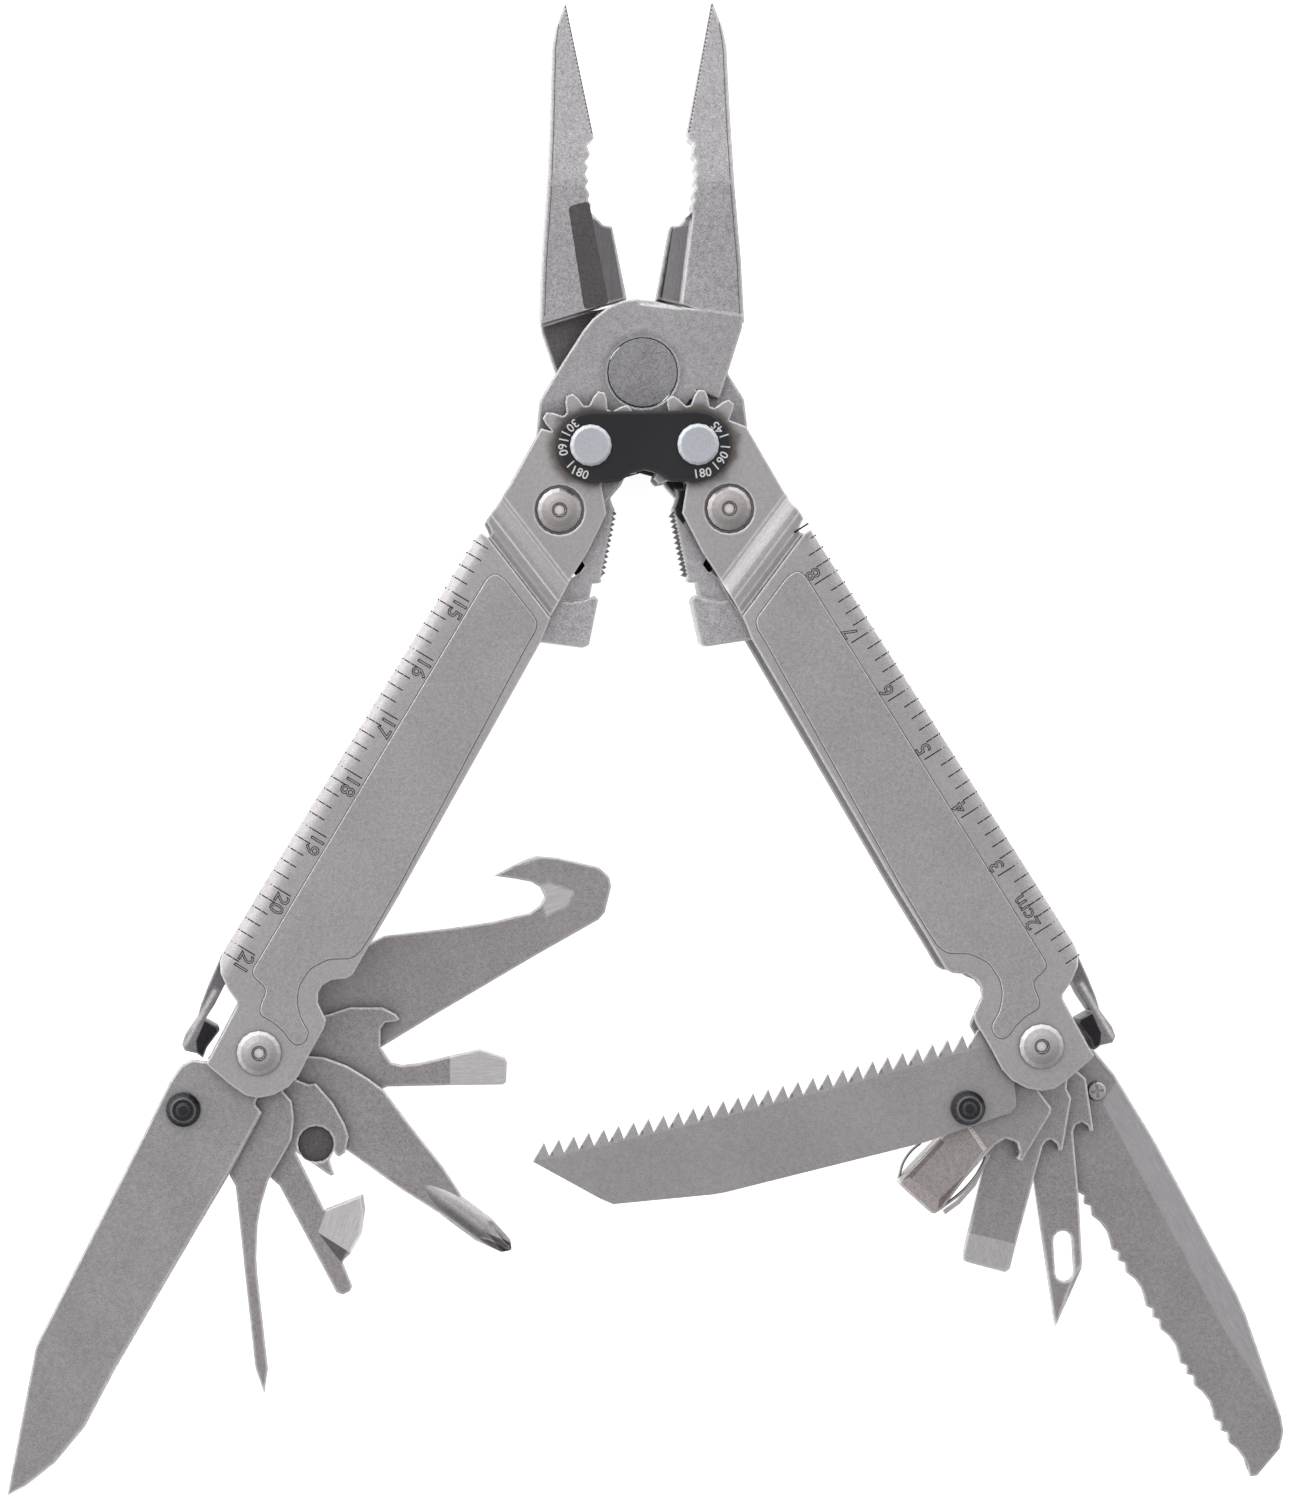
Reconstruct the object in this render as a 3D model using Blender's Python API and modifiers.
"""Folding multi tool, laid flat with its jaws open and every tool fanned out.

Axes: +Y runs from the handles to the jaw tips, +X to the right-hand handle, +Z out of the
front face. The origin is the centre of the main pivot rivet's rear face. Lengths in this
file are millimetres; MM turns them into the metres that Blender works in. Heights are
measured from the tool's mid plane. Outlines are tables of (x, y).
"""

import math

import bmesh
import bpy
from mathutils import Matrix, Vector

# ---------------------------------------------------------------- driving dimensions (mm)
MM = 0.001
MID = 4.0  # height of the tool's mid plane above the rivet's rear face
SIDE = {"left": -1, "right": 1}  # sign of X on each side
FRONT, REAR = 1, -1

PIN_X, PIN_Y = 7.80, -10.69  # handle pivots
AXLE_X, AXLE_Y = 56.8, -98.57  # tool axles
NECK_X, NECK_Y = 12.37, -19.98  # neck screws

JAW_GAP = 0.15  # each jaw hub starts this far from the mid plane
JAW_FACE = 3.90
NOSE_FACE = 3.84  # half the thickness of a jaw's nose at its root
NECK_IN, SHEET = 4.15, 1.2  # inner face of a neck and the handle sheet's thickness
MAIN_IN = 7.20  # inner face of a handle's main part
LINK_IN, LINK_OUT = 5.50, 7.00
CLOSING = math.radians(11.0)  # how far each jaw turns from open to closed
CLOSED_GAP = 0.12  # each jaw stops this far from the middle

RIVET_R = 5.0
SHAFT_R, PIN_HEAD_R = 2.0, 3.05
PIN_HOLE_R = SHAFT_R + 0.2
AXLE_R, AXLE_HOLE_R = 2.5, 2.7
LOCK_PIN_R, LOCK_BORE_R = 0.85, 1.05
STUD_HOLE_R = 1.35
CENTRES = math.hypot(PIN_X, PIN_Y)  # from the rivet to a handle pivot
PINION_TEETH, SECTOR_TEETH = 8, 18
HANDLE_TIP_R, HANDLE_ROOT_R, HANDLE_PITCH = 8.15, 5.9, math.radians(33.9)

SIDES = 16  # sides of most round pieces
RIVET_SIDES = 28

STEEL = dict(color=(0.36, 0.355, 0.35, 1), rough=0.42, metal=1.0)
DARK_STEEL = dict(color=(0.22, 0.215, 0.21, 1), rough=0.45, metal=1.0)
BRIGHT = dict(color=(0.55, 0.55, 0.56, 1), rough=0.25, metal=1.0)
BLACK = dict(color=(0.02, 0.02, 0.024, 1), rough=0.4, metal=0.2)

# ---------------------------------------------------------------- scene and collections
for old in list(bpy.data.objects):
    bpy.data.objects.remove(old, do_unlink=True)

tool = bpy.data.collections.new("multi_tool")
cutters = bpy.data.collections.new("cutters")
bpy.context.scene.collection.children.link(tool)
bpy.context.scene.collection.children.link(cutters)


# ---------------------------------------------------------------- outlines
def mirrored(points):
    """The same outline on the other side of the tool."""
    return [(-x, y) for x, y in reversed(points)]


def turned_by(points, angle):
    """The points turned about the origin."""
    c, s = math.cos(angle), math.sin(angle)
    return [(x * c - y * s, x * s + y * c) for x, y in points]


def shifted(points, dx, dy):
    return [(x + dx, y + dy) for x, y in points]


def polar(radius, degrees):
    angle = math.radians(degrees)
    return radius * math.cos(angle), radius * math.sin(angle)


def arc(cx, cy, radius, start, end, steps):
    """Points on an arc, both ends included; the angles are in degrees."""
    turns = [polar(radius, start + (end - start) * i / steps) for i in range(steps + 1)]
    return shifted(turns, cx, cy)


def ring(cx, cy, radius, steps=SIDES):
    return arc(cx, cy, radius, 0, 360, steps)[:-1]


def tooth(angle, root, tip, half_root, half_tip, steps):
    """One rounded gear tooth about the origin, run through with the angle rising.

    half_root is an angle and half_tip a length.
    """
    nose = tip - half_tip  # centre of the tooth's round nose
    out = [(root * math.cos(half_root), -root * math.sin(half_root))]
    for i in range(steps + 1):
        a = -math.pi / 2 + math.pi * i / steps
        out.append((nose + half_tip * math.cos(a), half_tip * math.sin(a)))
    out.append((root * math.cos(half_root), root * math.sin(half_root)))
    return turned_by(out, angle)


def tidy(points, least=0.02):
    """Drops a point that falls on the one before it."""
    out = []
    for point in points:
        if not out or math.dist(point, out[-1]) > least:
            out.append(point)
    if math.dist(out[0], out[-1]) <= least:
        out.pop()
    return out


def layer(low, high, face):
    """A pair of heights at the front, or their mirror at the rear."""
    return (low, high) if face == FRONT else (-high, -low)


def flip(profile, face):
    """A profile for the rear, with its points still running from top to bottom."""
    return profile if face == FRONT else [(r, -z) for r, z in reversed(profile)]


# ---------------------------------------------------------------- modelling helpers
def material(name, color, rough, metal):
    mat = bpy.data.materials.new(name)
    mat.use_nodes = True
    shader = mat.node_tree.nodes["Principled BSDF"]
    shader.inputs["Base Color"].default_value = color
    shader.inputs["Roughness"].default_value = rough
    shader.inputs["Metallic"].default_value = metal
    mat.diffuse_color = color
    return mat


def frame(name, x, y, parent=None):
    """An empty on a joint's axis, which carries the pieces that turn together."""
    empty = bpy.data.objects.new(name, None)
    tool.objects.link(empty)
    empty.empty_display_size = 0.004
    base_x, base_y = 0, 0
    if parent is not None:
        empty.parent = parent
        base_x, base_y = parent["at"]
    empty.location = (x * MM - base_x, y * MM - base_y, 0)
    empty["at"] = (x * MM, y * MM)
    return empty


def measured_from(empty, points):
    """Points measured from the rivet, as measured from a frame's axis."""
    x, y = empty["at"]
    return shifted(points, -x / MM, -y / MM)


def place(obj, look, parent):
    """Finishes a visible piece; without a look the object is a hidden cutter or form."""
    obj.parent = parent
    if look is None:
        cutters.objects.link(obj)
        obj.hide_render = True
        obj.display_type = "WIRE"
        return obj
    tool.objects.link(obj)
    obj.data.materials.clear()
    obj.data.materials.append(material(obj.name + "_finish", **look))
    return obj


def flat_mesh(name, outline, low, high, holes=()):
    """A flat outline as a filled 2D curve, extruded from low to high, then made a mesh."""
    curve = bpy.data.curves.new(name, "CURVE")
    curve.dimensions = "2D"
    curve.fill_mode = "BOTH"
    curve.extrude = (high - low) / 2 * MM
    for loop in [outline, *holes]:
        loop = tidy(loop)
        spline = curve.splines.new("POLY")
        spline.points.add(len(loop) - 1)
        for point, (x, y) in zip(spline.points, loop):
            point.co = (x * MM, y * MM, 0, 1)
        spline.use_cyclic_u = True
    temp = bpy.data.objects.new(name + "_curve", curve)
    temp.location = (0, 0, (MID + (low + high) / 2) * MM)
    bpy.context.scene.collection.objects.link(temp)
    bpy.context.view_layer.update()
    graph = bpy.context.evaluated_depsgraph_get()
    mesh = bpy.data.meshes.new_from_object(temp.evaluated_get(graph))
    mesh.transform(temp.matrix_world)
    mesh.name = name
    bpy.data.objects.remove(temp, do_unlink=True)
    bpy.data.curves.remove(curve)
    shape = bmesh.new()
    shape.from_mesh(mesh)
    bmesh.ops.remove_doubles(shape, verts=shape.verts, dist=1e-6)
    bmesh.ops.recalc_face_normals(shape, faces=shape.faces)
    shape.to_mesh(mesh)
    shape.free()
    return mesh


def plate(name, outline, low, high, look=None, parent=None, holes=()):
    """A flat piece. Its outline is measured from its parent frame's axis."""
    obj = bpy.data.objects.new(name, flat_mesh(name, outline, low, high, holes))
    return place(obj, look, parent)


def turned(name, profile, look=None, parent=None, at=(0.0, 0.0), segments=SIDES):
    """A turned piece: a profile of (radius, height), top to bottom."""
    mesh = bpy.data.meshes.new(name)
    verts = [(r * MM, 0, (MID + z) * MM) for r, z in profile]
    edges = [(i, i + 1) for i in range(len(verts) - 1)]
    if profile[0][0] > 0 and profile[-1][0] > 0:
        edges.append((len(verts) - 1, 0))
    mesh.from_pydata(verts, edges, [])
    obj = bpy.data.objects.new(name, mesh)
    bpy.context.scene.collection.objects.link(obj)
    spin = obj.modifiers.new("turn", "SCREW")
    spin.axis = "Z"
    spin.steps = spin.render_steps = segments
    spin.use_merge_vertices = True
    spin.merge_threshold = 0.00001
    spin.use_smooth_shade = True
    obj.location = (at[0] * MM, at[1] * MM, 0)
    bpy.context.view_layer.update()
    graph = bpy.context.evaluated_depsgraph_get()
    solid = bpy.data.meshes.new_from_object(obj.evaluated_get(graph))
    obj.modifiers.clear()
    obj.data = solid
    solid.name = name
    bpy.data.meshes.remove(mesh)
    bpy.context.scene.collection.objects.unlink(obj)
    shape = bmesh.new()
    shape.from_mesh(solid)
    bmesh.ops.recalc_face_normals(shape, faces=shape.faces)
    shape.to_mesh(solid)
    shape.free()
    place(obj, look, parent)
    if look is not None:
        solid.shade_smooth()
        solid.set_sharp_from_angle(angle=math.radians(35))
    return obj


def boolean(obj, other, operation):
    """A Boolean with a helper from the cutters' collection."""
    cut = obj.modifiers.new(operation.lower(), "BOOLEAN")
    cut.operation = operation
    cut.solver = "EXACT"
    cut.object = other


def cut_lines(mesh, lines):
    """Cuts edges into a mesh where each (point, normal) plane crosses it."""
    shape = bmesh.new()
    shape.from_mesh(mesh)
    for point, normal in lines:
        bmesh.ops.bisect_plane(
            shape,
            geom=shape.verts[:] + shape.edges[:] + shape.faces[:],
            dist=1e-7,
            plane_co=Vector(point) * MM,
            plane_no=Vector(normal),
        )
    shape.to_mesh(mesh)
    shape.free()


def reshape(mesh, rule):
    """Moves each vertex by a rule from millimetres to millimetres."""
    for vert in mesh.vertices:
        vert.co = Vector(rule(*(vert.co / MM))) * MM
    mesh.update()


def value_at(table, d):
    """The value at d of a table of (distance, value) pairs, straight between them."""
    if d <= table[0][0]:
        return table[0][1]
    for (d0, v0), (d1, v1) in zip(table, table[1:]):
        if d <= d1:
            return v0 + (v1 - v0) * (d - d0) / (d1 - d0)
    return table[-1][1]


def chamfer_edge(mesh, path, width, closeness=0.12):
    """Grinds both faces of a flat piece down to a cutting edge that follows path."""
    shape = bmesh.new()
    shape.from_mesh(mesh)

    def near(vert):
        x, y = vert.co.x / MM, vert.co.y / MM
        for (ax, ay), (bx, by) in zip(path, path[1:]):
            dx, dy = bx - ax, by - ay
            t = max(0.0, min(1.0, ((x - ax) * dx + (y - ay) * dy) / (dx * dx + dy * dy)))
            if math.hypot(x - ax - t * dx, y - ay - t * dy) < closeness:
                return True
        return False

    picked = []
    for edge in shape.edges:
        if abs(edge.verts[0].co.z - edge.verts[1].co.z) > 1e-6:
            continue
        if len(edge.link_faces) == 2 and edge.calc_face_angle(0) > 0.5:
            if near(edge.verts[0]) and near(edge.verts[1]):
                picked.append(edge)
    bmesh.ops.bevel(
        shape,
        geom=picked,
        offset=width * MM,
        offset_type="OFFSET",
        segments=1,
        affect="EDGES",
        clamp_overlap=True,
    )
    shape.to_mesh(mesh)
    shape.free()


def thin_tip(obj, start, tip, low, high, thinned=0.45):
    """Grinds a driver's tip thinner about its mid height, evenly from start to tip."""
    middle = MID + (low + high) / 2
    length = math.dist(start, tip)
    nx, ny = (tip[0] - start[0]) / length, (tip[1] - start[1]) / length
    cut_lines(obj.data, [((*start, 0), (nx, ny, 0))])

    def rule(x, y, z):
        d = max(0.0, min(1.0, ((x - start[0]) * nx + (y - start[1]) * ny) / length))
        return x, y, middle + (z - middle) * (1 + (thinned - 1) * d)

    reshape(obj.data, rule)


# ---------------------------------------------------------------- joint frames
root = frame("link_frame", 0, 0)
hubs, jaw_axes, handles = {}, {}, {}
for side, sign in SIDE.items():
    hubs[side] = frame(side + "_hub_axis", sign * PIN_X, PIN_Y, root)
    jaw_axes[side] = frame(side + "_jaw_axis", 0, 0, root)
    handles[side] = frame(side + "_handle_axis", sign * PIN_X, PIN_Y, root)

# ---------------------------------------------------------------- link plates and rivet
# Left half of a link plate's outline, from the top of the middle round to the bottom.
LINK_HALF = [
    (0.0, -5.783), (-7.810, -5.715), (-9.570, -6.066), (-11.043, -7.020), (-12.078, -8.240),
    (-12.633, -9.700), (-12.691, -11.310), (-12.050, -13.365), (-10.134, -15.286),
    (-7.944, -16.037), (-5.558, -16.102), (-3.580, -15.958), (-2.106, -14.872), (0.0, -14.275),
]


def link():
    """The two link plates and the main pivot rivet."""
    outline = LINK_HALF + mirrored(LINK_HALF[1:-1])
    holes = [ring(sign * PIN_X, PIN_Y, PIN_HOLE_R) for sign in SIDE.values()]
    plate("front_link_plate", outline, *layer(LINK_IN, LINK_OUT, FRONT), BLACK, root, holes)
    plate("rear_link_plate", outline, *layer(LINK_IN, LINK_OUT, REAR), BLACK, root, holes)
    profile = [(0, MID), (RIVET_R, MID), (RIVET_R, -MID), (0, -MID)]
    turned("pivot_rivet", profile, STEEL, root, segments=RIVET_SIDES)


# ---------------------------------------------------------------- shafts and nuts
SHAFT_PROFILE = [
    (0, 7.75), (2.6, 7.75), (PIN_HEAD_R, 7.45), (PIN_HEAD_R, 7.15), (SHAFT_R, 7.15),
    (SHAFT_R, -7.05), (1.2, -7.05), (1.2, -8.2), (0, -8.2),
]
NUT_PROFILE = [
    (1.35, -7.15), (PIN_HEAD_R, -7.15), (PIN_HEAD_R, -7.6), (2.6, -7.9), (1.35, -7.9),
]
PINION_LAYER = (0.35, 3.7)


def shaft(side):
    """A shaft with its front head, pinion and rear nut; one tooth points at the rivet."""
    sign, hub = SIDE[side], hubs[side]
    body = turned(side + "_pinion_shaft", SHAFT_PROFILE, BRIGHT, hub)
    first = math.atan2(-PIN_Y, -sign * PIN_X)
    outline = []
    for i in range(PINION_TEETH):
        angle = first + i * 2 * math.pi / PINION_TEETH
        outline += tooth(angle, root=3.0, tip=4.7, half_root=0.24, half_tip=0.42, steps=2)
    gear = plate(side + "_pinion_form", outline, *layer(*PINION_LAYER, sign), parent=hub)
    boolean(body, gear, "UNION")
    turned(side + "_shaft_nut", NUT_PROFILE, BRIGHT, hub)


# ---------------------------------------------------------------- jaws
# Outlines are of the right-hand jaw, whose hub is the front layer. The left one is its
# mirror in X and in Z.
NOSE = [
    (10.506, 54.522), (10.194, 54.057), (6.792, 34.979),
    # scallops of the pipe grip
    (6.640, 34.365), (7.862, 33.432), (7.380, 31.899), (8.148, 30.970), (7.671, 30.037),
    (8.131, 29.066), (7.654, 28.046), (8.115, 27.266), (7.490, 26.041), (7.790, 25.262),
    (7.316, 24.652), (7.468, 23.567), (6.538, 22.653), (5.606, 21.592), (3.745, 21.447),
    # root and outer side
    (2.071, 12.428), (2.174, 10.816), (5.797, 9.906), (8.425, 9.078), (14.851, 7.191),
    (14.844, 8.070), (14.490, 16.126), (13.661, 26.910), (13.138, 37.369), (12.758, 47.563),
    (12.155, 50.643),
]
NOSE_THINNING = [(27.7, 1.0), (54.7, 0.38)]  # (y, share of the root's thickness)
HUB_OUTER = [(14.860, 8.216), (14.461, 6.111), (12.220, -0.663), (11.094, -3.904)]
HUB_BELOW_TEETH = [(-0.6, -8.6), (-1.6, -12.6)]
TAIL_FOOT = [(-3.3, -16.4), (-6.0, -19.5), (-13.5, -19.5), (-16.6, -14.0)]
TAIL = [
    (-15.540, -8.942), (-15.410, -7.465), (-15.012, -3.822), (-12.784, -0.211),
    (-11.433, 1.959), (-9.964, 4.143), (-8.732, 6.079), (-7.252, 7.882), (-5.056, 9.561),
    (-2.866, 10.509), (-0.931, 10.741), (1.513, 10.588), (3.923, 9.966),
]
HUB_TOP = [(6.086, 9.464)]
ARM_HEAD = [
    (-12.305, -17.463), (-7.029, -16.850), (-4.745, -16.943), (-4.958, -17.820),
    (-4.574, -19.141), (-4.201, -19.935),
]
ARM_SERRATIONS = 18
FIRST_NOTCH, FIRST_CREST = (-4.5124, -20.4445), (-4.3391, -20.7242)
SERRATION_STEP = (-0.11226, -0.56029)
ARM_FOOT = [
    (-6.372, -30.546), (-7.559, -30.623), (-7.971, -32.582), (-8.056, -33.899),
    (-12.012, -34.157), (-12.470, -32.982), (-10.951, -30.067), (-9.332, -29.056),
    (-8.591, -28.037), (-9.311, -26.713), (-10.471, -25.385), (-12.338, -21.269),
]
FOOT = [
    (-12.545, -33.186), (-10.981, -33.463), (-8.884, -33.086), (-7.312, -32.500),
    (-6.790, -33.105), (-8.165, -39.637), (-8.944, -40.026), (-16.153, -38.982),
    (-14.220, -35.602),
]
# the ground recess beside the wire cutter, on the jaw's own face
CUTTER_RECESS = [
    (-0.251, 21.599), (3.849, 21.563), (6.786, 22.636), (7.525, 23.361), (5.725, 10.053),
    (5.719, 9.321), (-0.351, 10.106),
]


def held_when_closed(points, hold):
    """Applies hold to the x of each point as it stands once the right jaw is closed."""
    closed = turned_by(points, CLOSING)
    return turned_by([(hold(x), y) for x, y in closed], -CLOSING)


def sector_teeth():
    """The geared sector about the rivet, facing the right pin, the angle falling."""
    pin_angle = math.atan2(PIN_Y, PIN_X)
    pitch = 2 * math.pi / SECTOR_TEETH
    out = []
    for k in (1.5, 0.5, -0.5, -1.5):
        angle = pin_angle + k * pitch
        out += tooth(angle, root=7.9, tip=9.75, half_root=0.105, half_tip=0.40, steps=2)[::-1]
    return out


def tail_slot():
    """The slot through a tail for the left pin, an arc about the rivet."""
    half = SHAFT_R + 0.35
    start = math.degrees(math.atan2(PIN_Y, -PIN_X)) + 1
    end = start - math.degrees(CLOSING) - 2
    out = arc(0, 0, CENTRES + half, start, end, 6)
    out += arc(*polar(CENTRES, end), half, end, end - 180, 6)[1:-1]
    out += arc(0, 0, CENTRES - half, end, start, 6)
    out += arc(*polar(CENTRES, start), half, start + 180, start, 6)[1:-1]
    return out


def arm_outline():
    """The arm below the tail, with fine serrations down its inner side."""
    out = list(ARM_HEAD)
    for i in range(ARM_SERRATIONS):
        dx, dy = SERRATION_STEP[0] * i, SERRATION_STEP[1] * i
        out += shifted([FIRST_NOTCH, FIRST_CREST], dx, dy)
    return out + ARM_FOOT


def nose_form(side, outline, axis):
    """The nose, which thins evenly towards its tip."""
    nose = plate(side + "_nose_form", outline, -NOSE_FACE, NOSE_FACE, parent=axis)
    cut_lines(nose.data, [((0, NOSE_THINNING[0][0], 0), (0, 1, 0))])
    reshape(nose.data, lambda x, y, z: (x, y, MID + (z - MID) * value_at(NOSE_THINNING, y)))
    return nose


def jaw(side):
    """A jaw: its hub layer joined with its nose, arm and foot."""
    face, axis = SIDE[side], jaw_axes[side]

    def lay(points):
        return points if side == "right" else mirrored(points)

    def right_of_middle(x):
        return max(x, CLOSED_GAP)

    def left_of_middle(x):
        return min(x, -CLOSED_GAP)

    hub = HUB_OUTER + sector_teeth() + HUB_BELOW_TEETH + TAIL_FOOT + TAIL + HUB_TOP
    holes = [ring(0, 0, RIVET_R + 0.15, RIVET_SIDES), lay(tail_slot())]
    body = plate(side + "_jaw", lay(hub), *layer(JAW_GAP, JAW_FACE, face), STEEL, axis, holes)
    nose = nose_form(side, lay(held_when_closed(NOSE, right_of_middle)), axis)
    arm_points = lay(held_when_closed(arm_outline(), left_of_middle))
    arm = plate(side + "_arm_form", arm_points, -2.6, 2.6, parent=axis)
    foot_points = lay(held_when_closed(FOOT, left_of_middle))
    foot = plate(side + "_foot_form", foot_points, -3.8, 3.8, parent=axis)
    for form in (nose, arm, foot):
        boolean(body, form, "UNION")
    name = side + "_cutter_recess"
    recess = plate(name, lay(CUTTER_RECESS), *layer(2.7, 4.6, face), parent=axis)
    boolean(body, recess, "DIFFERENCE")


# ---------------------------------------------------------------- handles
# Outlines are of the left-hand handle. The right one is its mirror in X.
ACROSS = (-0.8512, 0.5249)  # direction across the left handle, towards its outer edge
REACH_ACROSS = 7.6  # furthest an outline may stand out along ACROSS from the pivot

NECK_OUTER = [
    (-23.966, -23.159), (-22.905, -24.032), (-22.269, -23.306), (-22.526, -22.572),
    (-23.030, -21.615), (-22.643, -20.887), (-20.255, -17.437), (-16.270, -10.400),
    (-14.947, -8.069),
]
NECK_INNER = [
    (-6.248, -16.257), (-5.509, -20.568), (-8.296, -26.166), (-10.418, -29.412),
    (-12.545, -33.186), (-13.868, -35.532), (-15.216, -38.917),
]
END_INNER = [
    (-36.241, -75.792), (-40.817, -83.366), (-43.091, -87.270), (-43.989, -87.819),
    (-46.231, -88.033), (-47.586, -88.900), (-48.167, -90.022), (-48.179, -91.384),
    (-46.999, -93.854), (-47.421, -95.197), (-49.696, -99.204), (-51.067, -101.901),
    (-52.442, -103.441), (-54.678, -104.651), (-56.922, -105.071), (-58.705, -104.733),
    (-60.714, -103.369), (-64.158, -100.425), (-64.491, -99.880), (-64.151, -99.532),
]
END_OUTER = [
    (-59.954, -91.720), (-59.948, -91.047), (-61.264, -89.220), (-62.255, -86.986),
    (-62.356, -85.199), (-61.889, -83.651), (-58.476, -78.409), (-55.754, -73.601),
]
# two points on the line where the sheet steps out from the neck to the main part
RIDGE_START, RIDGE_END = (-22.9185, -23.9444), (-14.0013, -35.6625)
# (distance from that line towards the pivot, how far the sheet stands out from the neck)
BEND = [
    (-0.05, MAIN_IN - NECK_IN), (0.2, 1.9), (1.2, 2.25), (2.4, 2.3), (3.4, 1.75),
    (5.0, 0.25), (5.6, 0.0),
]
LEVER = [
    (-56.433, -74.181), (-58.217, -77.240), (-60.298, -80.883), (-62.382, -84.818),
    (-64.175, -88.902), (-65.223, -91.528), (-65.752, -93.427), (-67.605, -96.046),
    (-68.056, -97.360), (-67.625, -98.316), (-65.871, -98.697), (-64.998, -99.363),
    (-64.399, -97.831), (-62.622, -95.504), (-62.909, -94.769), (-64.657, -93.802),
    (-63.173, -91.546), (-61.833, -88.922), (-59.612, -86.160), (-56.939, -81.790),
    (-54.703, -77.271), (-55.262, -74.191),
]
LEVER_PIN = (-58.6145, -80.8971)
AXLE_TOP = MAIN_IN - 0.05  # half the length of a tool axle and of a lock pin


def clear_of_middle(points):
    """Holds an outline back so that the folded handles stay apart."""
    out = []
    for x, y in points:
        across = (x + PIN_X) * ACROSS[0] + (y - PIN_Y) * ACROSS[1]
        over = max(0.0, across - REACH_ACROSS)
        out.append((x - over * ACROSS[0], y - over * ACROSS[1]))
    return out


def handle_teeth(offset):
    """The geared end about the left pin: teeth every HANDLE_PITCH, the angle falling."""
    out = []
    for k in range(4, -2, -1):
        angle = offset + k * HANDLE_PITCH
        out += tooth(angle, HANDLE_ROOT_R, HANDLE_TIP_R, half_root=0.235, half_tip=0.98,
                     steps=3)[::-1]
    return shifted(out, -PIN_X, PIN_Y)


def bend_neck(mesh, side, face, handle):
    """Steps the sheet out from the neck to the main part, with a ridge along the step."""
    sign = -SIDE[side]
    at_x, at_y = measured_from(handle, [(RIDGE_START[0] * sign, RIDGE_START[1])])[0]
    length = math.dist(RIDGE_START, RIDGE_END)
    normal_x = (RIDGE_START[1] - RIDGE_END[1]) / length * sign
    normal_y = (RIDGE_END[0] - RIDGE_START[0]) / length
    cuts = []
    for d, _ in BEND:
        cuts.append(((at_x + normal_x * d, at_y + normal_y * d, 0), (normal_x, normal_y, 0)))
    cut_lines(mesh, cuts)

    def rule(x, y, z):
        d = (x - at_x) * normal_x + (y - at_y) * normal_y
        return x, y, z + face * value_at(BEND, d)

    reshape(mesh, rule)


def handle_sheet(side, face, offset, neck_at):
    """A handle's front or rear sheet, counterbored for the neck screw's head."""
    handle = handles[side]
    outline = clear_of_middle(END_OUTER + NECK_OUTER) + handle_teeth(offset)
    outline += NECK_INNER + END_INNER
    loops = [
        outline,
        ring(-PIN_X, PIN_Y, PIN_HOLE_R),
        ring(-NECK_X, NECK_Y, 2.0, 14),
        ring(-AXLE_X, AXLE_Y, 1.75, 14),
    ]
    if side == "right":
        loops = [mirrored(loop) for loop in loops]
    outline, *holes = [measured_from(handle, loop) for loop in loops]
    name = f"{side}_{'front' if face == FRONT else 'rear'}_plate"
    low, high = layer(NECK_IN, NECK_IN + SHEET, face)
    obj = plate(name, outline, low, high, STEEL, handle, holes)
    bend_neck(obj.data, side, face, handle)
    floor, radius = NECK_IN + 0.45, 3.65
    bore = flip([(0, 8.0), (radius, 8.0), (radius, floor), (0, floor)], face)
    sink = turned(name + "_counterbore", bore, None, handle, neck_at, 20)
    boolean(obj, sink, "DIFFERENCE")


def button_screw(name, face, parent, at, base, top, shank_r, shank_end, socket_floor,
                 socket_top):
    """A screw with a crowned head from base to top and a hexagonal socket."""
    radius, rim = 3.3, 0.35
    profile = [(0, top)]
    for degrees in (30, 55, 78):
        a = math.radians(degrees)
        crown = (top - base - rim) * math.cos(a)
        profile.append((radius * math.sin(a), base + rim + crown))
    profile += [(radius, base + 0.3), (radius, base), (shank_r, base)]
    profile += [(shank_r, shank_end), (0, shank_end)]
    screw = turned(name, flip(profile, face), BRIGHT, parent, at)
    hexagon = ring(*at, 0.95, 6)
    low, high = layer(socket_floor, socket_top, face)
    boolean(screw, plate(name + "_socket", hexagon, low, high, parent=parent), "DIFFERENCE")


def lock_lever(side):
    """The lock lever beside a tool axle, with its bore and the pin it rocks on."""
    handle = handles[side]
    pin = (LEVER_PIN[0] * -SIDE[side], LEVER_PIN[1])
    axis = frame(side + "_lever_axis", *pin, handle)
    points = clear_of_middle(LEVER)
    if side == "right":
        points = mirrored(points)
    lever = plate(side + "_lock_lever", measured_from(axis, points), -4.3, 4.3, BRIGHT, axis)
    profile = [(0, 6), (LOCK_BORE_R, 6), (LOCK_BORE_R, -6), (0, -6)]
    boolean(lever, turned(side + "_lever_bore", profile, parent=axis), "DIFFERENCE")
    profile = [(0, AXLE_TOP), (LOCK_PIN_R, AXLE_TOP), (LOCK_PIN_R, -AXLE_TOP), (0, -AXLE_TOP)]
    turned(side + "_lock_pin", profile, BRIGHT, handle, measured_from(handle, [pin])[0])


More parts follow.
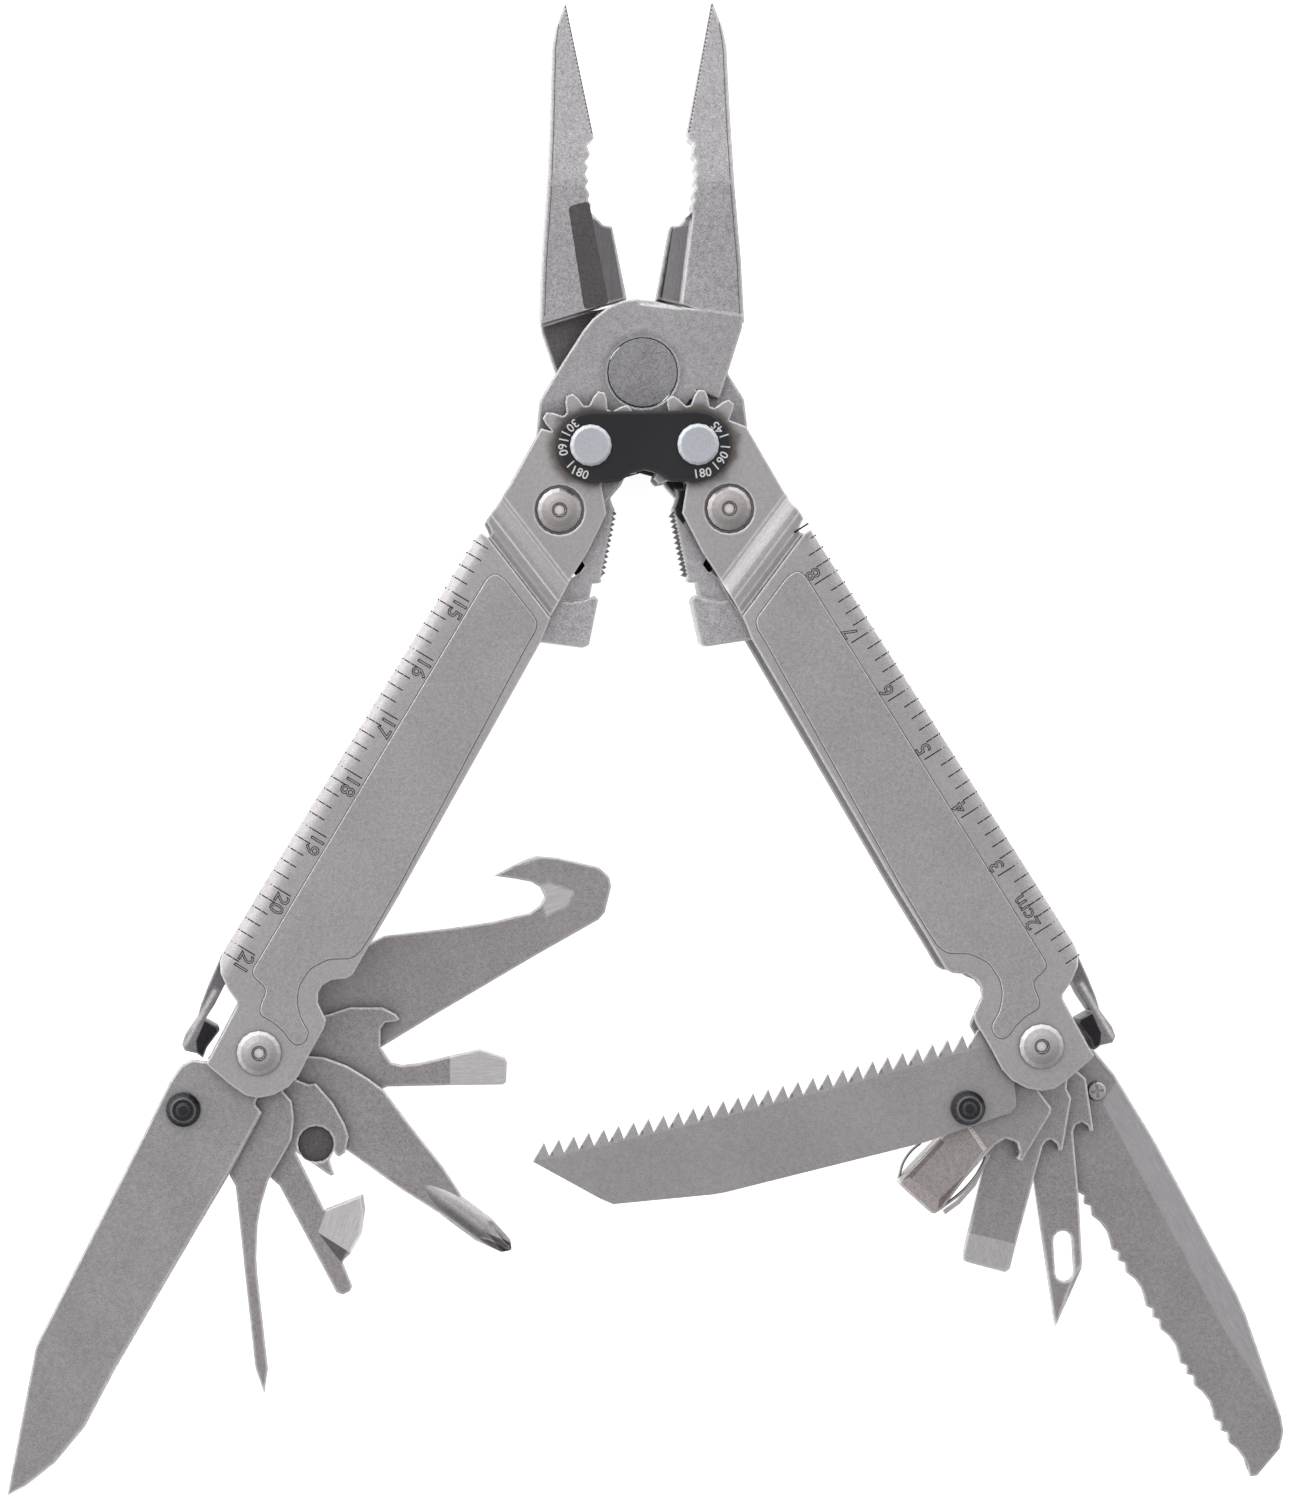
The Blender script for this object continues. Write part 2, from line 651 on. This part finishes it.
def handle(side, offset):
    """A handle: two sheets, their screws, the tool axle and the lock lever."""
    empty, sign = handles[side], SIDE[side]
    neck_at = ((NECK_X - PIN_X) * sign, NECK_Y - PIN_Y)
    axle_at = ((AXLE_X - PIN_X) * sign, AXLE_Y - PIN_Y)
    main_out = MAIN_IN + SHEET
    for face, where in ((FRONT, "front"), (REAR, "rear")):
        handle_sheet(side, face, offset, neck_at)
        button_screw(
            f"{side}_{where}_neck_screw", face, empty, neck_at,
            base=NECK_IN + 0.6, top=NECK_IN + 1.75, shank_r=1.7, shank_end=NECK_IN + 0.03,
            socket_floor=NECK_IN + 0.95, socket_top=9.0,
        )
        button_screw(
            f"{side}_{where}_end_screw", face, empty, axle_at,
            base=main_out + 0.05, top=main_out + 1.35, shank_r=1.4, shank_end=4.6,
            socket_floor=main_out + 0.45, socket_top=12.0,
        )
    half = [(0, 4.3), (1.6, 4.3), (1.6, AXLE_TOP), (AXLE_R, AXLE_TOP)]
    turned(side + "_tool_axle", half + flip(half, REAR), BRIGHT, empty, axle_at)
    lock_lever(side)


# ---------------------------------------------------------------- folding tools
# Every outline from here on is measured from the tool's axle.
def folding_tool(name, side, outline, low, high, holes=()):
    """A flat tool bored for its handle's axle; gives the tool and its axis."""
    axis = frame(name + "_axis", AXLE_X * SIDE[side], AXLE_Y, handles[side])
    bores = [ring(0, 0, AXLE_HOLE_R, 20), *holes]
    return plate(name, outline, low, high, DARK_STEEL, axis, bores), axis


def stud(name, axis, at, low, high):
    """A thumb stud on a blade's front face, with the screw that holds it."""
    base = high + 0.1
    profile = [
        (0.65, base + 2.3), (1.7, base + 2.3), (2.1, base + 1.9), (1.8, base + 1.2),
        (2.5, base + 0.5), (2.55, base), (1.15, base), (1.15, low + 0.05), (0.65, low + 0.05),
    ]
    turned(name, profile, BLACK, axis, at)
    profile = [
        (0, base + 2.75), (0.8, base + 2.7), (1.15, base + 2.45), (0.45, base + 2.45),
        (0.45, low + 0.2), (0, low + 0.2),
    ]
    turned(name + "_screw", profile, BLACK, axis, at, 12)


# ---- main blade: the base round the axle and the choil, the edge, then the spine
MAIN_BASE = [
    (-9.878, -1.027), (-7.508, -1.340), (-5.695, 1.719), (-3.032, 4.917), (0.197, 5.767),
    (3.408, 4.568), (5.432, 1.622), (5.550, -1.601), (3.765, -4.806), (0.970, -6.246),
    (-0.351, -6.674), (-0.652, -7.550),
]
MAIN_EDGE = [
    (0.362, -8.876), (-4.429, -17.619), (-15.113, -35.536), (-21.444, -46.257),
    (-25.805, -54.374), (-30.140, -59.490), (-34.474, -62.893), (-37.269, -64.333),
]
MAIN_SPINE = [
    (-33.028, -43.140), (-32.786, -42.263), (-16.838, -11.713), (-13.068, -4.220),
    (-11.437, -1.892),
]
MAIN_STUD_AT = (-11.097, -8.249)
MAIN_LAYER = (3.95, 5.65)


def main_blade():
    outline = MAIN_BASE + MAIN_EDGE + MAIN_SPINE
    hole = ring(*MAIN_STUD_AT, STUD_HOLE_R)
    blade, axis = folding_tool("main_blade", "left", outline, *MAIN_LAYER, [hole])
    chamfer_edge(blade.data, MAIN_EDGE, width=0.95)
    stud("main_blade_stud", axis, MAIN_STUD_AT, *MAIN_LAYER)


# ---- awl
AWL = [
    (-3.054, 2.428), (-1.573, 4.318), (0.777, 5.176), (3.405, 4.275), (5.139, 1.624),
    (5.260, -1.305), (4.212, -3.932), (3.434, -5.828), (4.666, -7.245), (4.996, -9.737),
    (4.617, -12.925), (2.817, -16.072), (1.153, -18.840), (0.098, -22.344), (-0.455, -25.268),
    (-0.674, -30.244), (-0.520, -32.735), (0.885, -46.217), (0.325, -49.961),
    (-0.988, -46.055), (-2.295, -33.085), (-3.597, -19.589), (-4.476, -17.985),
    (-4.945, -12.930), (-4.308, -7.078), (-3.964, -1.225),
]

# ---- can opener
CAN_BASE = [
    (-3.353, 1.698), (-1.573, 4.318), (1.070, 5.174), (3.695, 3.980), (5.283, 1.330),
    (5.257, -1.598), (5.381, -4.235), (7.175, -4.953), (8.231, -4.787), (10.695, -7.649),
    (12.439, -10.856), (12.965, -12.647), (12.403, -14.940), (11.519, -15.533),
    (10.981, -15.118), (10.814, -14.624), (10.110, -15.989), (10.779, -18.118),
    (10.236, -18.289), (5.143, -14.701), (9.314, -23.259),
]
CAN_EDGE = [(15.014, -21.069), (15.346, -23.312), (14.788, -26.865), (13.168, -29.677)]
CAN_TIP = [
    (11.912, -30.910), (13.302, -34.466), (12.944, -35.195), (11.871, -35.698),
    (10.966, -35.324), (2.786, -19.644), (1.551, -18.550), (-2.577, -10.022),
    (-3.977, -2.689),
]
CAN_POCKET_AT, CAN_POCKET_R = (8.1537, -13.6295), 2.6354


def can_opener():
    outline = CAN_BASE + CAN_EDGE + CAN_TIP
    opener, axis = folding_tool("can_opener", "left", outline, 0.75, 2.05)
    chamfer_edge(opener.data, CAN_EDGE, width=0.8)
    circle = arc(*CAN_POCKET_AT, CAN_POCKET_R, -0.5, 359.5, 16)[:-1]
    boolean(opener, plate("can_pocket_form", circle, 1.2, 3.2, parent=axis), "DIFFERENCE")


# ---- cross-head driver
PHILLIPS = [
    (-3.353, 1.698), (-1.573, 4.318), (1.070, 5.174), (3.695, 3.980), (5.283, 1.330),
    (6.845, -0.880), (9.332, -1.048), (12.864, -2.353), (16.054, -4.328), (18.163, -5.957),
    (22.374, -11.660), (26.588, -17.012), (27.800, -19.072), (25.713, -23.300),
    (20.525, -20.473), (12.756, -14.768), (4.171, -8.617), (0.095, -5.945), (-3.109, -3.868),
]
BAR_START, BAR_END = (20.7847, -17.5466), (36.6396, -29.5449)
BAR_R, BAR_HALF_THICK = 2.05, 1.5
BAR_HEIGHT = -0.95
FLUTE = [(0.42, 0.42), (3, 0.9), (0.9, 3)]


def phillips_driver():
    """The round fluted nose is a turned, flattened bar with four flutes cut in it."""
    driver, axis = folding_tool("phillips_driver", "left", PHILLIPS, -1.85, -0.05)
    length = math.dist(BAR_START, BAR_END)
    heading = math.atan2(BAR_END[1] - BAR_START[1], BAR_END[0] - BAR_START[0])
    profile = [
        (0, length), (0.55, length), (0.9, length - 0.35), (BAR_R, length - 3.6),
        (BAR_R, 8.6), (1.3, 4.2), (0.6, 1.2), (0, 0.0),
    ]
    to_axis = Matrix.Translation((0, 0, -MID * MM))
    lay = (
        Matrix.Translation((BAR_START[0] * MM, BAR_START[1] * MM, (MID + BAR_HEIGHT) * MM))
        @ Matrix.Diagonal((1, 1, BAR_HALF_THICK / BAR_R, 1))
        @ Matrix.Rotation(heading, 4, "Z")
        @ Matrix.Rotation(math.radians(90), 4, "Y")
    )
    bar = turned("driver_bar", profile, parent=axis, segments=24)
    bar.data.transform(to_axis)
    bar.data.transform(lay)
    boolean(driver, bar, "UNION")
    for i in range(4):
        flute = plate(f"flute_{i}", FLUTE, -3.4, 3.4, parent=axis)
        lean = Matrix.Rotation(math.radians(-9), 4, Vector((1, -1, 0)))
        turn = Matrix.Rotation(math.radians(90 * i), 4, "Z") @ lean
        flute.data.transform(to_axis)
        flute.data.transform(Matrix.Translation((0, 0, (length - 1.0) * MM)) @ turn)
        flute.data.transform(lay)
        boolean(driver, flute, "DIFFERENCE")


# ---- flat driver
FLAT_TIP_START = (27.889, -5.456)  # a corner of the outline, where the grinding starts
FLAT_TIP_END = (36.2635, -5.529)
FLAT = [
    (-3.353, 1.698), (-1.573, 4.318), (1.070, 5.174), (3.700, 4.565), (6.629, 4.540),
    (9.883, 4.995), (13.377, 6.091), (18.150, 6.050), (20.045, 5.067), (20.668, 4.271),
    (20.036, 3.983), (18.438, 3.807), (17.800, 2.861), (17.777, 0.196), (19.338, -2.072),
    (20.916, -2.467), (23.466, -2.196), (27.765, -1.209), (32.357, -0.195), (36.007, -1.427),
    (36.323, -2.059), (36.209, -5.089), (35.664, -5.451), FLAT_TIP_START, (18.678, -5.566),
    (18.046, -5.868), (11.522, -5.167), (4.202, -5.103), (0.096, -5.799), (-3.106, -3.575),
]
FLAT_LAYER = (-4.3, -2.6)


def flat_driver():
    driver, _ = folding_tool("flat_driver", "left", FLAT, *FLAT_LAYER)
    thin_tip(driver, FLAT_TIP_START, FLAT_TIP_END, *FLAT_LAYER)


# ---- strap cutter
STRAP = [
    (-3.047, 3.160), (-0.688, 5.043), (5.795, 9.672), (11.686, 13.574), (16.329, 15.436),
    (18.549, 16.501), (28.090, 17.530), (34.423, 18.427), (38.267, 19.345), (39.851, 19.653),
    (41.442, 20.781), (42.098, 22.166), (41.465, 23.446), (40.213, 24.247), (37.670, 24.767),
    (34.657, 25.189), (38.967, 27.436), (40.876, 28.063), (44.051, 27.787), (50.071, 26.387),
    (51.640, 24.938), (51.950, 23.515), (50.965, 19.717), (50.003, 18.613), (40.749, 13.466),
    (26.077, 5.014), (17.938, 0.195), (10.068, -3.983), (2.730, -5.968), (-0.490, -5.794),
    (-3.396, -3.279),
]

# ---- saw blade
SAW_TEETH = 30
SAW_NOSE = [(-73.907, -16.237)]
SAW_FIRST, SAW_LAST = (-72.2575, -13.4256), (-9.0880, 2.2024)  # tips of the end teeth
SAW_BOW = (-0.0054, -0.6149)  # how far the row of tips sags at its middle
SAW_GULLET = (0.7439, -1.9978)  # from a tooth's tip to the gullet after it
SAW_BACK = [
    (-6.791, 3.720), (-3.552, 5.741), (0.553, 6.291), (4.051, 4.504), (5.777, 0.975),
    (5.159, -2.827), (2.207, -5.437), (-1.016, -5.702), (-3.794, -5.179), (-3.575, -8.681),
    (-4.286, -9.626), (-16.930, -13.908), (-45.953, -20.918), (-47.815, -21.223),
    (-62.292, -22.503), (-64.160, -21.696),
]
SAW_STUD_AT = (-10.591, -8.942)
SAW_LAYER = (5.8, 6.95)


def saw_row():
    """Tips and gullets from the nose to the heel."""
    out = []
    for i in range(SAW_TEETH):
        share = i / (SAW_TEETH - 1)
        bow = math.sin(math.pi * share)
        x = SAW_FIRST[0] + (SAW_LAST[0] - SAW_FIRST[0]) * share + SAW_BOW[0] * bow
        y = SAW_FIRST[1] + (SAW_LAST[1] - SAW_FIRST[1]) * share + SAW_BOW[1] * bow
        out += [(x, y), (x + SAW_GULLET[0], y + SAW_GULLET[1])]
    return out[:-1]


def saw_blade():
    outline = SAW_NOSE + saw_row() + SAW_BACK
    hole = ring(*SAW_STUD_AT, STUD_HOLE_R)
    _, axis = folding_tool("saw_blade", "right", outline, *SAW_LAYER, [hole])
    stud("saw_blade_stud", axis, SAW_STUD_AT, *SAW_LAYER)


# ---- bit driver: a deep holder on a flat tang
BIT_TANG = [
    (-0.087, -6.588), (1.853, -9.167), (1.714, -9.971), (-2.549, -16.962), (-3.248, -16.517),
    (-2.815, -15.569), (-3.228, -14.174), (-4.906, -13.574), (-6.363, -14.440),
    (-11.390, -19.960), (-14.863, -15.244), (-11.600, -10.441), (-7.596, -4.619),
    (-5.329, 3.414), (-3.264, 5.153), (0.257, 6.001), (3.758, 4.506), (5.485, 0.977),
    (4.866, -2.824), (2.207, -5.437),
]
BIT_BODY = [
    (-20.509, -19.588), (-20.367, -20.174), (-15.923, -24.269), (-15.382, -24.420),
    (-14.234, -23.742), (-7.835, -15.306), (-11.015, -10.592), (-14.702, -13.635),
]
BIT_MOUTH_AT, BIT_MOUTH_HEIGHT = (-17.9986, -22.2450), 1.8
BIT_MOUTH_R, BIT_MOUTH_HEADING = 2.1, math.radians(228.2)
BIT_CLIP = [
    (-13.843, -24.185), (-11.853, -22.738), (-9.636, -20.268), (-7.401, -15.895),
    (-6.963, -16.045), (-9.199, -20.565), (-11.564, -23.180), (-13.701, -24.698),
]


def bit_driver():
    """The holder has a hexagonal mouth, and a spring clip lies along its side."""
    driver, axis = folding_tool("bit_driver", "right", BIT_TANG, 0.4, 4.4)
    boolean(driver, plate("bit_body_form", BIT_BODY, -1.2, 4.8, parent=axis), "UNION")
    profile = [(0, 6.0), (BIT_MOUTH_R, 6.0), (BIT_MOUTH_R, -9), (0, -9)]
    mouth = turned("bit_mouth", profile, parent=axis, segments=6)
    mouth.data.transform(Matrix.Translation((0, 0, -MID * MM)))
    at = Vector((*BIT_MOUTH_AT, MID + BIT_MOUTH_HEIGHT)) * MM
    mouth.data.transform(
        Matrix.Translation(at)
        @ Matrix.Rotation(BIT_MOUTH_HEADING, 4, "Z")
        @ Matrix.Rotation(math.radians(90), 4, "Y")
    )
    boolean(driver, mouth, "DIFFERENCE")
    plate("bit_spring_clip", BIT_CLIP, 0.6, 3.0, BRIGHT, axis)


# ---- large driver
LARGE = [
    (-5.740, -10.053), (-5.406, -5.370), (-5.797, 0.197), (-4.890, 3.410), (-2.382, 5.585),
    (1.135, 5.847), (4.339, 3.915), (5.626, 0.390), (5.156, -3.120), (4.686, -6.674),
    (5.376, -8.071), (4.022, -15.629), (3.479, -15.756), (3.209, -14.772), (2.381, -14.077),
    (1.691, -14.291), (1.098, -15.091), (-2.93632, -29.43377), (-3.817, -33.057),
    (-4.524, -33.564), (-10.104, -32.036), (-10.658, -31.738), (-10.648, -30.626),
    (-6.734, -14.978),
]
LARGE_TIP_START, LARGE_TIP_END = (-6.19392, -28.57076), (-7.31439, -32.80711)
LARGE_LAYER = (-3.1, -1.3)


def large_driver():
    driver, _ = folding_tool("large_driver", "right", LARGE, *LARGE_LAYER)
    thin_tip(driver, LARGE_TIP_START, LARGE_TIP_END, *LARGE_LAYER)


# ---- slotted knife
KNIFE_BASE = [
    (-2.249, -12.719), (-4.820, -5.375), (-5.650, 0.196), (-4.890, 3.410), (-2.382, 5.585),
    (1.135, 5.847), (4.339, 3.915), (5.919, 0.388), (5.446, -3.415), (6.668, -4.304),
    (7.773, -5.295), (8.833, -13.006), (8.261, -13.103), (8.004, -12.296), (7.160, -11.732),
    (6.176, -12.133), (5.801, -13.082), (6.516, -21.815), (6.982, -32.127),
]
KNIFE_EDGE = [(6.972, -33.298), (2.971, -42.092)]
KNIFE_HEEL = [(0.027, -20.352)]
KNIFE_SLOT_TOP, KNIFE_SLOT_FOOT = (4.154, -29.027), (4.391, -33.715)
KNIFE_SLOT_R = 1.3909


def slotted_knife():
    slot = arc(*KNIFE_SLOT_TOP, KNIFE_SLOT_R, 183.5, 3.5, 6)
    slot += arc(*KNIFE_SLOT_FOOT, KNIFE_SLOT_R, 3.5, -176.5, 6)
    outline = KNIFE_BASE + KNIFE_EDGE + KNIFE_HEEL
    knife, _ = folding_tool("slotted_knife", "right", outline, -5.0, -3.3, [slot])
    chamfer_edge(knife.data, KNIFE_EDGE, width=0.7)


# ---- serrated blade
SERRATED_BASE = [
    (9.127, -1.105), (6.073, 1.265), (4.051, 4.504), (0.551, 6.145), (-3.262, 5.446),
    (-5.481, 2.830), (-5.948, -0.387), (-4.805, -3.619), (-1.046, -9.069), (3.287, -15.988),
    (6.630, -22.094),
]
SERRATION_GROUPS = 5
GROUP_AT, GROUP_STEP = (8.7665, -25.6265), (4.9489, -8.3890)
# one group of the serrated edge, from its own origin
SERRATION_GROUP = [
    (-1.0725, 2.9377), (-1.1559, 1.7671), (-0.1343, 1.3921), (0.0, 0.0),
    (1.2362, -0.9625), (2.2489, -2.3623), (2.7460, -4.1237), (2.8554, -5.0031),
]
SERRATED_TIP = [
    (31.087, -61.811), (31.695, -64.262), (32.736, -64.124), (36.138, -60.171),
    (36.702, -57.658), (36.384, -55.517),
]
SERRATED_SPINE = [
    (31.274, -40.392), (30.026, -37.423), (23.833, -25.612), (18.043, -14.624),
    (12.242, -4.909),
]
REAR_STUD_AT = (9.5854, -7.2874)
REAR_STUD_PROFILE = [
    (0.65, 9.2), (1.7, 9.2), (2.1, 8.8), (1.8, 8.2), (2.5, 7.5), (2.55, 7.05), (1.15, 7.05),
    (1.15, 5.9), (0.65, 5.9),
]
REAR_SCREW_PROFILE = [
    (0, -5.2), (1.15, -5.2), (1.42, -5.4), (1.42, -5.65), (0.45, -5.65), (0.45, -9.0),
    (0, -9.0),
]
CROSS = [
    (-0.95, -0.2), (-0.2, -0.2), (-0.2, -0.95), (0.2, -0.95), (0.2, -0.2), (0.95, -0.2),
    (0.95, 0.2), (0.2, 0.2), (0.2, 0.95), (-0.2, 0.95), (-0.2, 0.2), (-0.95, 0.2),
]
STUD_BAY_HALF = 2.85  # half the width of the bay in the rear sheet


def stud_bay():
    """An arc-shaped bay in the right rear sheet, where the folded blade's stud goes."""
    reach = math.hypot(*REAR_STUD_AT)
    parked = math.degrees(math.atan2(REAR_STUD_AT[1], REAR_STUD_AT[0])) - 178
    half = STUD_BAY_HALF
    bay = arc(0, 0, reach + half, parked + 60, parked, 8)
    bay += arc(*polar(reach, parked), half, parked, parked - 180, 6)[1:-1]
    bay += arc(0, 0, reach - half, parked, parked + 60, 8)
    bay = shifted(bay, AXLE_X - PIN_X, AXLE_Y - PIN_Y)
    form = plate("stud_bay", bay, -9.5, -6.5, parent=handles["right"])
    boolean(bpy.data.objects["right_rear_plate"], form, "DIFFERENCE")


def serrated_blade():
    """The rearmost blade, with its stud on the rear face and the screw from the front."""
    edge = []
    for i in range(SERRATION_GROUPS):
        x, y = GROUP_AT[0] + GROUP_STEP[0] * i, GROUP_AT[1] + GROUP_STEP[1] * i
        edge += shifted(SERRATION_GROUP, x, y)
    # the tip's first point takes the place of the last group's end
    outline = SERRATED_BASE + edge[:-1] + SERRATED_TIP + SERRATED_SPINE
    hole = ring(*REAR_STUD_AT, STUD_HOLE_R)
    _, axis = folding_tool("serrated_blade", "right", outline, -6.95, -5.75, [hole])
    turned("serrated_blade_stud", flip(REAR_STUD_PROFILE, REAR), BLACK, axis, REAR_STUD_AT)
    screw = turned("serrated_stud_screw", REAR_SCREW_PROFILE, BRIGHT, axis, REAR_STUD_AT)
    cross = shifted(turned_by(CROSS, 0.12), *REAR_STUD_AT)
    boolean(screw, plate("cross_recess", cross, -5.47, -4.6, parent=axis), "DIFFERENCE")


# ---------------------------------------------------------------- build
link()
for side in SIDE:
    shaft(side)
    jaw(side)
# the right gear stands half a pitch round, so that its teeth meet the left one's gaps
handle("left", math.radians(10.0))
handle("right", math.radians(10.0) - HANDLE_PITCH / 2)

main_blade()
folding_tool("awl", "left", AWL, 2.2, 3.8)
can_opener()
phillips_driver()
flat_driver()
folding_tool("strap_cutter", "left", STRAP, -5.6, -4.45)

saw_blade()
bit_driver()
large_driver()
slotted_knife()
stud_bay()
serrated_blade()
